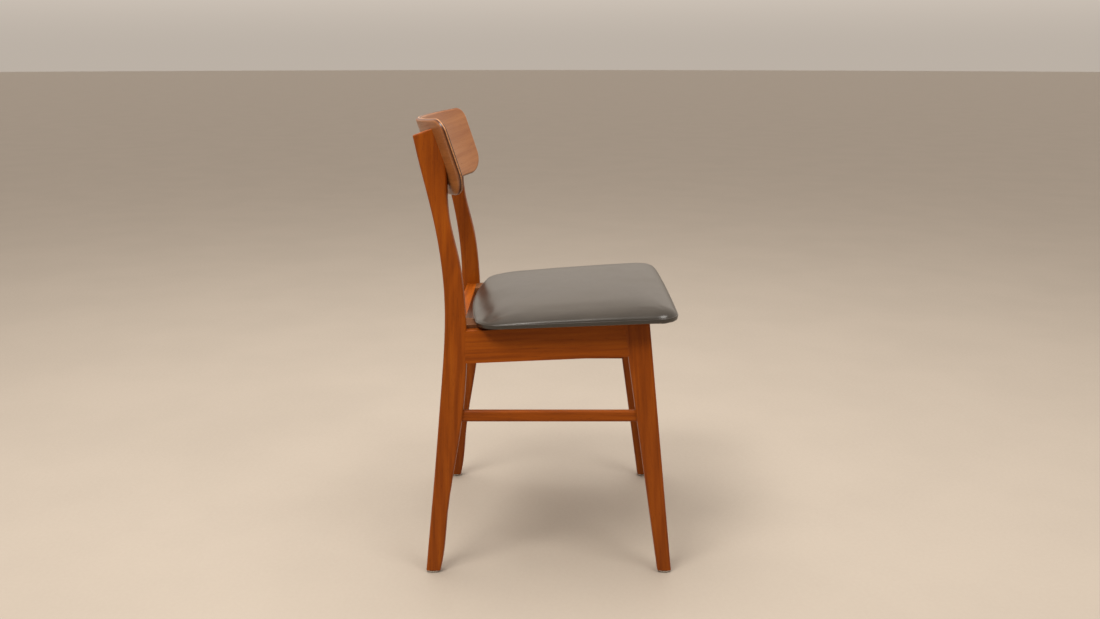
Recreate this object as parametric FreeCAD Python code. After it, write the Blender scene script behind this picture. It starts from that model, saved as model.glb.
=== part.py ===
import FreeCAD, Part
import math
import os

from FreeCAD import Placement, Rotation, Vector

# Dining chair with a bent plywood backrest and an upholstered seat pad.
# Millimetres. +Z is up, the chair faces -Y, and X = 0 is its plane of symmetry. "Left" is the sitter's left, +X.
# The origin is on the floor, under the middle of the chair's bounding box.

# ---- driving dimensions ----
# The two side frames are flat assemblies that lean in towards each other. Their parts are drawn in a side
# frame's own axes: X out of the frame with 0 on its outer face, Y as the chair's, Z up the slope.
FOOT_HALF_SPREAD = 233.0
SIDE_LEAN_SLOPE = 0.085
FRAME_SHIFT_Y = -9.2

# Height up the side frame, rear edge, front edge, thickness.
REAR_LEG_SECTIONS = (
    (-6.0, 215.0, 192.2, 21.5),
    (100.0, 204.6, 177.0, 22.8),
    (201.0, 194.8, 160.8, 24.0),
    (301.0, 186.0, 145.6, 24.8),
    (402.0, 177.8, 140.4, 25.0),
    (472.0, 176.2, 143.2, 25.0),
    (542.0, 181.6, 151.6, 24.6),
    (613.0, 193.6, 166.8, 23.8),
    (658.0, 204.0, 169.5, 23.2),
    (703.0, 215.0, 171.5, 22.6),
    (770.0, 230.0, 179.0, 22.0),
)
FRONT_LEG_SECTIONS = (
    (-6.0, -187.4, -210.4, 21.5),
    (460.0, -120.0, -165.0, 25.0),
)
LEG_EDGE_RADIUS = 4.5
LEG_THICKNESS = 25.0
UPRIGHT_TOP_REAR = Vector(0, 224.5, 744.0)
UPRIGHT_TOP_EDGE_RADIUS = 2.2
UPRIGHT_TOP_SLOPE_DEG = 20.0

GLIDE_HEIGHT = 4.0
GLIDE_CAP_RADIUS = 11.5
GLIDE_CAP_RIM = 3.2
GLIDE_CAP_WALL = 0.8
GLIDE_CAP_FLAT_RADIUS = 8.0
GLIDE_BEND_HEIGHT = 1.9
GLIDE_NAIL_RADIUS = 1.25
GLIDE_NAIL_HEAD_RADIUS = 5.0
GLIDE_NAIL_TOP = 26.0

SEAT_PLANE_Z = 434.4
SEAT_RISE_SLOPE = 0.0436

RAIL_SETBACK = 1.0
RAIL_THICKNESS = 20.0
RAIL_BOTTOM_Z = 373.0
RAIL_HOUSING = 3.0
SIDE_RAIL_GAPS = (1.0, 6.0)
TENON_THICKNESS = 9.0
TENON_LENGTH = 11.0
TENON_SHOULDER = 10.0
FRONT_RAIL_FACE_Y = -163.0
REAR_RAIL_FACE_Y = 147.0
CROSS_RAIL_HOUSING = 1.0
CROSS_RAIL_THICKNESS = 19.0

STRETCHER_HEIGHT = 276.0
STRETCHER_SECTION = (13.0, 19.5)
STRETCHER_EDGE_RADIUS = 4.0
STRETCHER_TENON = (8.0, 13.0)
STRETCHER_TENON_LENGTH = 13.0

DOWEL_RADIUS = 4.0
DOWEL_IN_LEG = 15.0
DOWEL_IN_RAIL = 20.0
DOWEL_PITCH = 30.0

BLOCK_LEG = 60.0
BLOCK_HEIGHT = 26.0
BLOCK_BITE = 8.0

SCREW_RADIUS = 2.0
SCREW_HEAD_RADIUS = 3.8
SCREW_HEAD_HEIGHT = 2.6
SEAT_SCREW_INSET = (16.0, 28.0)
SEAT_SCREW_COVERED = 1.5

SEAT_HALF_WIDTH_FRONT = 226.0
SEAT_HALF_WIDTH_REAR = 219.0
SEAT_FRONT_Y = -214.5
SEAT_FRONT_BOW = 2.5
SEAT_REAR_Y = 118.0
SEAT_REAR_BOW = 22.0
SEAT_FRONT_CORNER = 36.0
SEAT_REAR_CORNER = 45.0
SEAT_BOARD_THICKNESS = 6.0
SEAT_CROWN = 28.6
SEAT_CROWN_RADIUS = 3600.0
SEAT_CROWN_CENTRE_Y = -150.0
SEAT_TOP_EDGE_RADIUS = 3.6
COVER_THICKNESS = 1.2
COVER_GAP = 0.15
COVER_TURN_UNDER = 22.0
STAPLE = (10.0, 1.2, 0.5)
STAPLE_EDGE = 6.0
STAPLE_COUNT = 60
FRAME_CROSSING = (100.0, 200.0)

PANEL_MIDDLE = Vector(0, 213.0, 692.6)
PANEL_TILT_DEG = 18.0
PANEL_REAR_RADIUS = 392.0
PANEL_THICKNESS = 9.6
PANEL_HALF_WIDTH = 203.0
PANEL_HALF_HEIGHT = 64.5
PANEL_TOP_CROWN = 11.0
PANEL_BOTTOM_RISE = 8.0
PANEL_TOP_CORNER = 24.0
PANEL_BOTTOM_CORNER = 36.0
PANEL_EDGE_RADIUS = 3.8
PANEL_SCREW_X = 158.0
PANEL_SCREW_HEIGHTS = (-24.0, 24.0)
PANEL_SCREW_IN_PANEL = 7.5
PANEL_SCREW_IN_UPRIGHT = 12.0
PLUG_RADIUS = 4.5

# ---- axes and placements ----
LEAN = math.atan(SIDE_LEAN_SLOPE)
RISE = math.atan(SEAT_RISE_SLOPE)
TILT = math.radians(PANEL_TILT_DEG)
X_AXIS = Vector(1, 0, 0)
Z_AXIS = Vector(0, 0, 1)
SIDE_FRAME = Placement(Vector(FOOT_HALF_SPREAD, 0, 0), Rotation(Vector(0, 1, 0), -math.degrees(LEAN)))
SEAT_FRAME = Placement(Vector(0, 0, SEAT_PLANE_Z), Rotation(X_AXIS, -math.degrees(RISE)))
PANEL_UP = Vector(0, math.sin(TILT), math.cos(TILT))
PANEL_BACK = Vector(0, math.cos(TILT), -math.sin(TILT))
BIG = 900.0


def placed(shape, placement):
    """A copy of a shape drawn in another set of axes, moved into the chair's axes."""
    moved = shape.copy()
    moved.Placement = placement.multiply(moved.Placement)
    return moved


def mirrored(shape):
    """The same piece on the sitter's right."""
    return shape.mirror(Vector(0, 0, 0), X_AXIS)


def box(x, y, z):
    """A box between three (low, high) pairs."""
    return Part.makeBox(x[1] - x[0], y[1] - y[0], z[1] - z[0], Vector(x[0], y[0], z[0]))


def rounded_rectangle(x0, x1, y0, y1, radius, z):
    """A closed wire at height z, with four equal corner arcs."""
    corners = (
        (x1 - radius, y1 - radius, 0),
        (x0 + radius, y1 - radius, 90),
        (x0 + radius, y0 + radius, 180),
        (x1 - radius, y0 + radius, 270),
    )
    arcs = []
    for cx, cy, start in corners:
        points = []
        for angle in (start, start + 45, start + 90):
            turn = math.radians(angle)
            points.append(Vector(cx + radius * math.cos(turn), cy + radius * math.sin(turn), z))
        arcs.append(points)
    edges = []
    for number, points in enumerate(arcs):
        following = arcs[(number + 1) % 4]
        edges.append(Part.Arc(*points).toShape())
        edges.append(Part.LineSegment(points[2], following[0]).toShape())
    return Part.Wire(edges)


def cylinder(radius, start, end):
    """A round bar between two points."""
    along = end - start
    return Part.makeCylinder(radius, along.Length, start, along)


def screw(tip, head):
    """A countersunk wood screw from its tip to the flat of its head."""
    along = (tip - head).normalize()
    under_head = head + along * SCREW_HEAD_HEIGHT
    shank = cylinder(SCREW_RADIUS, under_head, tip)
    cone = Part.makeCone(SCREW_HEAD_RADIUS, SCREW_RADIUS, SCREW_HEAD_HEIGHT, head, along)
    return shank.fuse(cone).removeSplitter()


def above_rails():
    """Everything over the plane that the seat rests on, which is the underside of its turned-under cover."""
    return placed(box((-BIG, BIG), (-BIG, BIG), (-COVER_THICKNESS, BIG)), SEAT_FRAME)


def above_side_rails():
    """Everything over a side rail's top, which drops away from the seat towards the rear."""
    front_gap, rear_gap = SIDE_RAIL_GAPS
    drop = math.atan((rear_gap - front_gap) / (REAR_RAIL_FACE_Y - FRONT_RAIL_FACE_Y))
    front_top = SEAT_PLANE_Z - SEAT_RISE_SLOPE * FRONT_RAIL_FACE_Y - COVER_THICKNESS - front_gap
    start = Vector(0, FRONT_RAIL_FACE_Y, front_top)
    above = box((-BIG, BIG), (-BIG, BIG), (0, BIG))
    return placed(above, Placement(start, Rotation(X_AXIS, -math.degrees(RISE + drop))))


# ---- side frame pieces, drawn for the sitter's left ----
def leg_blank(sections, ruled):
    """A leg lofted through rounded rectangles, before its joints are cut."""
    wires = []
    for height, rear, front, thickness in sections:
        wires.append(rounded_rectangle(-thickness, 0, front, rear, LEG_EDGE_RADIUS, height))
    leg = placed(Part.makeLoft(wires, True, ruled), SIDE_FRAME)
    return leg.cut(box((-BIG, BIG), (-BIG, BIG), (-BIG, GLIDE_HEIGHT)))


def rear_leg_blank():
    """Leg and upright in one piece: a sloping, rounded top and a front that fits the panel's back."""
    leg = leg_blank(REAR_LEG_SECTIONS, False)
    above = box((-BIG, BIG), (-BIG, BIG), (0, BIG))
    top = Placement(UPRIGHT_TOP_REAR, Rotation(X_AXIS, -UPRIGHT_TOP_SLOPE_DEG))
    leg = leg.cut(placed(above, top))
    end = max(leg.Faces, key=lambda face: face.CenterOfMass.z)
    leg = leg.makeFillet(UPRIGHT_TOP_EDGE_RADIUS, end.Edges)
    return leg.cut(panel_cylinder(PANEL_REAR_RADIUS, -85, 110))


def front_leg_blank():
    return leg_blank(FRONT_LEG_SECTIONS, True).cut(above_rails())


def edge_at(sections, height, column):
    """A leg's edge at a height up the side frame, between the two nearest sections."""
    for low, high in zip(sections, sections[1:]):
        if height <= high[0]:
            share = (height - low[0]) / (high[0] - low[0])
            return low[column] + share * (high[column] - low[column])
    return sections[-1][column]


def side_rail():
    """A rail along the seat's side, housed in both legs and tenoned into them."""
    low = RAIL_BOTTOM_Z / math.cos(LEAN)
    high = SEAT_PLANE_Z / math.cos(LEAN) + 20
    outer = -RAIL_SETBACK
    inner = outer - RAIL_THICKNESS
    rear_y = edge_at(REAR_LEG_SECTIONS, low + 30, 2) + RAIL_HOUSING
    front_low = edge_at(FRONT_LEG_SECTIONS, low, 1) - RAIL_HOUSING
    front_high = edge_at(FRONT_LEG_SECTIONS, high, 1) - RAIL_HOUSING
    corners = (
        Vector(outer, rear_y, low - SEAT_RISE_SLOPE * rear_y),
        Vector(outer, front_low, low - SEAT_RISE_SLOPE * front_low),
        Vector(outer, front_high, high),
        Vector(outer, rear_y, high),
    )
    face = Part.Face(Part.makePolygon([*corners, corners[0]]))
    rail = face.extrude(Vector(inner - outer, 0, 0))
    middle = (outer + inner) / 2
    tenon_x = (middle - TENON_THICKNESS / 2, middle + TENON_THICKNESS / 2)
    tenon_z = (low + TENON_SHOULDER, SEAT_PLANE_Z - TENON_SHOULDER)
    tenon_y = (front_low - TENON_LENGTH, rear_y + TENON_LENGTH)
    rail = rail.fuse(box(tenon_x, tenon_y, tenon_z))
    return placed(rail, SIDE_FRAME).cut(above_rails()).removeSplitter()


def stretcher():
    """The thin rail low between the legs of one side, with a smaller tenon at each end."""
    width, height = STRETCHER_SECTION
    rear_y = edge_at(REAR_LEG_SECTIONS, STRETCHER_HEIGHT, 2) + RAIL_HOUSING
    front_y = edge_at(FRONT_LEG_SECTIONS, STRETCHER_HEIGHT, 1) - RAIL_HOUSING
    middle = -LEG_THICKNESS / 2
    bar = box(
        (middle - width / 2, middle + width / 2),
        (front_y, rear_y),
        (STRETCHER_HEIGHT - height / 2, STRETCHER_HEIGHT + height / 2),
    )
    long_edges = [edge for edge in bar.Edges if edge.Length > height + 1]
    bar = bar.makeFillet(STRETCHER_EDGE_RADIUS, long_edges)
    tenon_width, tenon_height = STRETCHER_TENON
    tenon = box(
        (middle - tenon_width / 2, middle + tenon_width / 2),
        (front_y - STRETCHER_TENON_LENGTH, rear_y + STRETCHER_TENON_LENGTH),
        (STRETCHER_HEIGHT - tenon_height / 2, STRETCHER_HEIGHT + tenon_height / 2),
    )
    return placed(bar.fuse(tenon), SIDE_FRAME)


# ---- cross rails, dowels and corner blocks ----
def cross_rail(front_y):
    """A rail across the chair, with its ends housed in the legs' inner faces."""
    outer = -LEG_THICKNESS + CROSS_RAIL_HOUSING
    between = placed(box((-BIG, outer), (-BIG, BIG), (-BIG, BIG)), SIDE_FRAME)
    bottom = RAIL_BOTTOM_Z - SEAT_RISE_SLOPE * front_y
    rail = box((-BIG, BIG), (front_y, front_y + CROSS_RAIL_THICKNESS), (bottom, SEAT_PLANE_Z + 30))
    rail = rail.common(between).common(mirrored(between))
    return rail.cut(above_rails())


def cross_rail_dowels(y, bottom_z):
    """Two dowels into the left leg, square to the leg's inner face."""
    dowels = []
    for number in range(2):
        height = bottom_z / math.cos(LEAN) + 18 + number * DOWEL_PITCH
        inner_end = Vector(-LEG_THICKNESS + CROSS_RAIL_HOUSING - DOWEL_IN_RAIL, y, height)
        leg_end = Vector(-LEG_THICKNESS + CROSS_RAIL_HOUSING + DOWEL_IN_LEG, y, height)
        dowels.append(placed(cylinder(DOWEL_RADIUS, inner_end, leg_end), SIDE_FRAME))
    return dowels


def corner_block(corner_y, towards, touching):
    """A glue block in a corner of the seat frame. towards is +1 from the front rail and -1 from the rear rail."""
    rail_inner = Vector(-RAIL_SETBACK - RAIL_THICKNESS, 0, SEAT_PLANE_Z)
    corner_x = SIDE_FRAME.multVec(rail_inner).x + BLOCK_BITE
    start_y = corner_y - towards * BLOCK_BITE
    top = SEAT_PLANE_Z - SEAT_RISE_SLOPE * corner_y
    chamfer = BLOCK_BITE * 2
    corners = (
        Vector(corner_x, start_y, top - BLOCK_HEIGHT),
        Vector(corner_x - BLOCK_LEG, start_y, top - BLOCK_HEIGHT),
        Vector(corner_x - BLOCK_LEG, start_y + towards * chamfer, top - BLOCK_HEIGHT),
        Vector(corner_x - chamfer, start_y + towards * BLOCK_LEG, top - BLOCK_HEIGHT),
        Vector(corner_x, start_y + towards * BLOCK_LEG, top - BLOCK_HEIGHT),
    )
    face = Part.Face(Part.makePolygon([*corners, corners[0]]))
    block = face.extrude(Vector(0, 0, BLOCK_HEIGHT + 20)).cut(above_rails())
    for piece in touching:
        block = block.cut(piece)
    return block


def corner_block_screws(corner_y, towards):
    """One screw into the side rail and one into the cross rail, from the block's long face."""
    rail_inner = Vector(-RAIL_SETBACK - RAIL_THICKNESS, 0, SEAT_PLANE_Z)
    corner_x = SIDE_FRAME.multVec(rail_inner).x
    height = SEAT_PLANE_Z - SEAT_RISE_SLOPE * corner_y - BLOCK_HEIGHT
    reach = BLOCK_LEG / 2 - 4
    near_y = corner_y + towards * 36
    near_x = corner_x - 36
    return [
        screw(Vector(corner_x + 12, near_y, height + 8), Vector(corner_x - reach / 2.6, near_y, height + 8)),
        screw(
            Vector(near_x, corner_y - towards * 12, height + 18),
            Vector(near_x, corner_y + towards * reach / 2.6, height + 18),
        ),
    ]


def seat_screw(corner_y, towards):
    """A screw up through a corner block into the seat board."""
    rail_inner = Vector(-RAIL_SETBACK - RAIL_THICKNESS, 0, SEAT_PLANE_Z)
    x = SIDE_FRAME.multVec(rail_inner).x - SEAT_SCREW_INSET[0]
    y = corner_y + towards * SEAT_SCREW_INSET[1]
    top = SEAT_PLANE_Z - SEAT_RISE_SLOPE * y
    bottom = SEAT_PLANE_Z - SEAT_RISE_SLOPE * corner_y - BLOCK_HEIGHT
    return screw(Vector(x, y, top + SEAT_BOARD_THICKNESS - SEAT_SCREW_COVERED), Vector(x, y, bottom))


# ---- backrest ----
def panel_cylinder(radius, low, high):
    """The round bar whose surface the panel follows, between two heights up the panel."""
    base = PANEL_MIDDLE - PANEL_BACK * PANEL_REAR_RADIUS + PANEL_UP * low
    return Part.makeCylinder(radius, high - low, base, PANEL_UP)


def panel_outline():
    """The panel seen square on: a crowned top, a bottom edge that arches too, and four rounded corners."""
    high = PANEL_HALF_HEIGHT
    low = -PANEL_HALF_HEIGHT
    wide = PANEL_HALF_WIDTH
    top = Part.Arc(Vector(-wide, 0, high), Vector(0, 0, high + PANEL_TOP_CROWN), Vector(wide, 0, high))
    bottom = Part.Arc(Vector(wide, 0, low), Vector(0, 0, low + PANEL_BOTTOM_RISE), Vector(-wide, 0, low))
    outline = Part.Wire(
        [
            top.toShape(),
            Part.LineSegment(Vector(wide, 0, high), Vector(wide, 0, low)).toShape(),
            bottom.toShape(),
            Part.LineSegment(Vector(-wide, 0, low), Vector(-wide, 0, high)).toShape(),
        ]
    )
    slab = Part.Face(outline).extrude(Vector(0, -BIG / 3, 0))
    for is_top, radius in ((True, PANEL_TOP_CORNER), (False, PANEL_BOTTOM_CORNER)):
        corners = []
        for edge in slab.Edges:
            along_y = edge.BoundBox.YLength > BIG / 4
            if along_y and (edge.CenterOfMass.z > 0) == is_top:
                corners.append(edge)
        slab = slab.makeFillet(radius, corners)
    return slab


def backrest_panel():
    """Bent plywood with its edges rounded over."""
    shell = panel_cylinder(PANEL_REAR_RADIUS, -100, 110)
    shell = shell.cut(panel_cylinder(PANEL_REAR_RADIUS - PANEL_THICKNESS, -100, 110))
    square_on = Placement(PANEL_MIDDLE + PANEL_BACK * 5, Rotation(X_AXIS, -PANEL_TILT_DEG))
    panel = shell.common(placed(panel_outline(), square_on))
    rims = []
    for edge in panel.Edges:
        middle = edge.valueAt((edge.FirstParameter + edge.LastParameter) / 2)
        from_axis = middle - (PANEL_MIDDLE - PANEL_BACK * PANEL_REAR_RADIUS)
        radius = (from_axis - PANEL_UP * from_axis.dot(PANEL_UP)).Length
        ends = [vertex.Point for vertex in edge.Vertexes]
        radii = []
        for end in ends:
            offset = end - (PANEL_MIDDLE - PANEL_BACK * PANEL_REAR_RADIUS)
            radii.append((offset - PANEL_UP * offset.dot(PANEL_UP)).Length)
        if max(radii + [radius]) - min(radii + [radius]) < 1:
            rims.append(edge)
    return panel.makeFillet(PANEL_EDGE_RADIUS, rims)


def panel_screw_line(height):
    """Where a backrest screw on the sitter's left crosses the panel's back face."""
    sag = PANEL_REAR_RADIUS - math.sqrt(PANEL_REAR_RADIUS**2 - PANEL_SCREW_X**2)
    return PANEL_MIDDLE + Vector(PANEL_SCREW_X, 0, 0) - PANEL_BACK * sag + PANEL_UP * height


def panel_screws():
    screws = []
    for height in PANEL_SCREW_HEIGHTS:
        start = panel_screw_line(height)
        tip = start - PANEL_BACK * PANEL_SCREW_IN_PANEL
        head = start + PANEL_BACK * PANEL_SCREW_IN_UPRIGHT
        screws.append(screw(tip, head))
    return screws


def panel_screw_plugs(upright):
    """Round wooden plugs over the screw heads, flush with the back of the upright."""
    plugs = []
    for height in PANEL_SCREW_HEIGHTS:
        start = panel_screw_line(height) + PANEL_BACK * PANEL_SCREW_IN_UPRIGHT
        plugs.append(cylinder(PLUG_RADIUS, start, start + PANEL_BACK * 40).common(upright))
    return plugs


# ---- seat, drawn in the seat's own axes: Z square to the rails' top ----
def seat_slab(inset, low, high):
    """The seat's outline less an inset, between two heights."""
    front = SEAT_FRONT_Y + inset
    rear = SEAT_REAR_Y - inset
    wide_front = SEAT_HALF_WIDTH_FRONT - inset
    wide_rear = SEAT_HALF_WIDTH_REAR - inset
    front_left = Vector(wide_front, front, low)
    front_right = Vector(-wide_front, front, low)
    rear_left = Vector(wide_rear, rear, low)
    rear_right = Vector(-wide_rear, rear, low)
    outline = Part.Wire(
        [
            Part.Arc(front_right, Vector(0, front - SEAT_FRONT_BOW, low), front_left).toShape(),
            Part.LineSegment(front_left, rear_left).toShape(),
            Part.Arc(rear_left, Vector(0, rear + SEAT_REAR_BOW, low), rear_right).toShape(),
            Part.LineSegment(rear_right, front_right).toShape(),
        ]
    )
    slab = Part.Face(outline).extrude(Vector(0, 0, high - low))
    for is_front, radius in ((True, SEAT_FRONT_CORNER), (False, SEAT_REAR_CORNER)):
        corners = []
        for edge in slab.Edges:
            upright = edge.BoundBox.ZLength > (high - low) / 2
            if upright and (edge.CenterOfMass.y < 0) == is_front:
                corners.append(edge)
        slab = slab.makeFillet(radius - inset, corners)
    return slab


def crowned_pad(inset, low, crown):
    """A slab with a domed top and a rounded top edge."""
    dome_radius = SEAT_CROWN_RADIUS - (SEAT_CROWN - crown)
    centre = Vector(0, SEAT_CROWN_CENTRE_Y, crown - dome_radius)
    dome = placed(Part.makeSphere(dome_radius), Placement(centre, Rotation(X_AXIS, 90)))
    pad = seat_slab(inset, low, SEAT_CROWN + 20).common(dome)
    top = max(pad.Faces, key=lambda face: face.CenterOfMass.z)
    return pad.makeFillet(SEAT_TOP_EDGE_RADIUS - inset, top.Edges)


def seat_board():
    return seat_slab(COVER_THICKNESS + COVER_GAP, 0, SEAT_BOARD_THICKNESS)


def seat_foam():
    inset = COVER_THICKNESS + COVER_GAP
    return crowned_pad(inset, SEAT_BOARD_THICKNESS, SEAT_CROWN - inset)


def seat_cover():
    """Vinyl drawn over the pad and turned under the board's edge."""
    outside = crowned_pad(0, -COVER_THICKNESS, SEAT_CROWN)
    inside = crowned_pad(COVER_THICKNESS, 0, SEAT_CROWN - COVER_THICKNESS)
    opening = seat_slab(COVER_TURN_UNDER, -COVER_THICKNESS - 1, 1)
    return outside.cut(inside).cut(opening)


def cover_staples():
    """Staples through the turned-under edge all round, left out where the edge lies on the seat frame."""
    length, width, drop = STAPLE
    ring = seat_slab(COVER_TURN_UNDER - STAPLE_EDGE, 0, 1)
    outline = min(ring.Faces, key=lambda face: face.CenterOfMass.z).OuterWire
    points = outline.discretize(Number=STAPLE_COUNT + 1)[:-1]
    staples = []
    for number, point in enumerate(points):
        on_frame = point.y > 0 and FRAME_CROSSING[0] < abs(point.x) < FRAME_CROSSING[1]
        if on_frame:
            continue
        following = points[(number + 1) % STAPLE_COUNT]
        previous = points[number - 1]
        turn = math.degrees(math.atan2(following.y - previous.y, following.x - previous.x))
        bar = box((-length / 2, length / 2), (-width / 2, width / 2), (-drop, 0))
        spot = Vector(point.x, point.y, -COVER_THICKNESS)
        staples.append(placed(bar, Placement(spot, Rotation(Z_AXIS, turn))))
    return staples


# ---- glides ----
def foot_centre(sections):
    """The middle of a left foot where it meets its glide."""
    height = GLIDE_HEIGHT / math.cos(LEAN)
    rear = edge_at(sections, height, 1)
    front = edge_at(sections, height, 2)
    thickness = edge_at(sections, height, 3)
    spot = SIDE_FRAME.multVec(Vector(-thickness / 2, (rear + front) / 2, height))
    return Vector(spot.x, spot.y, 0)


def turned(points):
    """A solid of revolution about Z through (radius, height) points."""
    corners = [Vector(radius, 0, height) for radius, height in points]
    face = Part.Face(Part.makePolygon([*corners, corners[0]]))
    return face.revolve(Vector(0, 0, 0), Z_AXIS, 360)


def glide_cap():
    """A pressed cup with a flat sole."""
    wall = GLIDE_CAP_WALL
    return turned(
        (
            (0, 0),
            (GLIDE_CAP_FLAT_RADIUS, 0),
            (GLIDE_CAP_RADIUS, GLIDE_BEND_HEIGHT),
            (GLIDE_CAP_RADIUS, GLIDE_CAP_RIM),
            (GLIDE_CAP_RADIUS - wall, GLIDE_CAP_RIM),
            (GLIDE_CAP_RADIUS - wall, GLIDE_BEND_HEIGHT + wall / 2),
            (GLIDE_CAP_FLAT_RADIUS - wall / 2, wall),
            (0, wall),
        )
    )


def glide_nail():
    head_top = 2 * GLIDE_CAP_WALL
    return turned(
        (
            (0, GLIDE_CAP_WALL),
            (GLIDE_NAIL_HEAD_RADIUS, GLIDE_CAP_WALL),
            (GLIDE_NAIL_HEAD_RADIUS, head_top),
            (GLIDE_NAIL_RADIUS, head_top),
            (GLIDE_NAIL_RADIUS, GLIDE_NAIL_TOP - 2),
            (0, GLIDE_NAIL_TOP),
        )
    )


def glide_cushion():
    """The rubber between the cup and the wood, round the nail."""
    wall = GLIDE_CAP_WALL
    inner = GLIDE_CAP_RADIUS - wall
    pad = turned(
        (
            (0, wall),
            (GLIDE_CAP_FLAT_RADIUS - wall / 2, wall),
            (inner, GLIDE_BEND_HEIGHT + wall / 2),
            (inner, GLIDE_CAP_RIM),
            (inner - 1, GLIDE_HEIGHT),
            (0, GLIDE_HEIGHT),
        )
    )
    return pad.cut(glide_nail())


def at_each_foot(piece):
    """Four copies of a glide piece, one under each foot."""
    copies = []
    for sections in (REAR_LEG_SECTIONS, FRONT_LEG_SECTIONS):
        spot = foot_centre(sections)
        for side in (1, -1):
            copies.append(placed(piece, Placement(Vector(side * spot.x, spot.y, 0), Rotation())))
    return copies


# ---- assembly ----
def both_sides(pieces):
    return pieces + [mirrored(piece) for piece in pieces]


def cut_by(shape, tools):
    for tool in tools:
        shape = shape.cut(tool)
    return shape


def build():
    """Every node of the chair as a list of solids."""
    nodes = {}
    full_rail = side_rail()
    rail = full_rail.cut(above_side_rails())
    low_rail = stretcher()
    front_rail = cross_rail(FRONT_RAIL_FACE_Y)
    rear_rail = cross_rail(REAR_RAIL_FACE_Y)
    half_rail = CROSS_RAIL_THICKNESS / 2
    front_dowels = cross_rail_dowels(
        FRONT_RAIL_FACE_Y + half_rail - 2, RAIL_BOTTOM_Z - SEAT_RISE_SLOPE * FRONT_RAIL_FACE_Y
    )
    rear_dowels = cross_rail_dowels(
        REAR_RAIL_FACE_Y + half_rail + 3, RAIL_BOTTOM_Z - SEAT_RISE_SLOPE * REAR_RAIL_FACE_Y
    )
    rear_blank = rear_leg_blank()
    front_blank = front_leg_blank()
    nails = at_each_foot(glide_nail())
    backrest_screws = panel_screws()
    plugs = panel_screw_plugs(rear_blank)

    front_corner = FRONT_RAIL_FACE_Y + CROSS_RAIL_THICKNESS
    rear_corner = REAR_RAIL_FACE_Y
    block_screws = corner_block_screws(front_corner, 1) + corner_block_screws(rear_corner, -1)
    seat_screws = [seat_screw(front_corner, 1), seat_screw(rear_corner, -1)]
    fixings = block_screws + seat_screws

    rear_leg = cut_by(rear_blank, [rail, low_rail, rear_rail, *rear_dowels, *backrest_screws, *plugs, *nails])
    front_leg = cut_by(front_blank, [rail, low_rail, front_rail, *front_dowels, *nails])
    front_block = cut_by(corner_block(front_corner, 1, [full_rail, front_rail, front_blank]), fixings)
    rear_block = cut_by(corner_block(rear_corner, -1, [full_rail, rear_rail, rear_blank]), fixings)

    side_pieces = {
        "rear_leg": rear_leg,
        "front_leg": front_leg,
        "side_rail": cut_by(rail, block_screws),
        "stretcher": low_rail,
        "corner_block_front": front_block,
        "corner_block_rear": rear_block,
    }
    for name, shape in side_pieces.items():
        nodes[name + "_left"] = [shape]
        nodes[name + "_right"] = [mirrored(shape)]

    nodes["front_rail"] = [cut_by(front_rail, both_sides(front_dowels + block_screws))]
    nodes["rear_rail"] = [cut_by(rear_rail, both_sides(rear_dowels + block_screws))]
    nodes["front_rail_dowels"] = both_sides(front_dowels)
    nodes["rear_rail_dowels"] = both_sides(rear_dowels)
    nodes["corner_block_screws"] = both_sides(block_screws)
    nodes["backrest_panel"] = [cut_by(backrest_panel(), both_sides(backrest_screws))]
    nodes["backrest_screws"] = both_sides(backrest_screws)
    nodes["backrest_screw_plugs"] = both_sides(plugs)
    nodes["seat_board"] = [cut_by(placed(seat_board(), SEAT_FRAME), both_sides(seat_screws))]
    nodes["seat_foam"] = [placed(seat_foam(), SEAT_FRAME)]
    nodes["seat_cover"] = [cut_by(placed(seat_cover(), SEAT_FRAME), both_sides(seat_screws))]
    nodes["seat_cover_staples"] = [placed(staple, SEAT_FRAME) for staple in cover_staples()]
    nodes["seat_screws"] = both_sides(seat_screws)
    nodes["glide_caps"] = at_each_foot(glide_cap())
    nodes["glide_cushions"] = at_each_foot(glide_cushion())
    nodes["glide_nails"] = nails
    return nodes


def main():
    os.makedirs("parts", exist_ok=True)
    centred = Placement(Vector(0, FRAME_SHIFT_Y, 0), Rotation())
    for name, shapes in build().items():
        solids = []
        for shape in shapes:
            solids.extend(placed(shape, centred).Solids)
        body = solids[0] if len(solids) == 1 else Part.makeCompound(solids)
        body.exportStep("parts/" + name + ".step")
        box_now = body.BoundBox
        print(
            name, len(solids), "valid" if body.isValid() else "INVALID", round(body.Volume / 1000, 2),
            [round(value, 1) for value in (box_now.XMin, box_now.XMax, box_now.YMin, box_now.YMax)],
            [round(value, 1) for value in (box_now.ZMin, box_now.ZMax)],
        )


main()
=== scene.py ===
"""Looks of the dining chair: a vinyl seat pad made by cloth simulation, and a finish for every part.

Metres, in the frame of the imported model: Z up, the chair faces -Y, the floor is Z = 0.
"""

import math

import bpy
from mathutils import Matrix, Vector, noise


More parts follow.
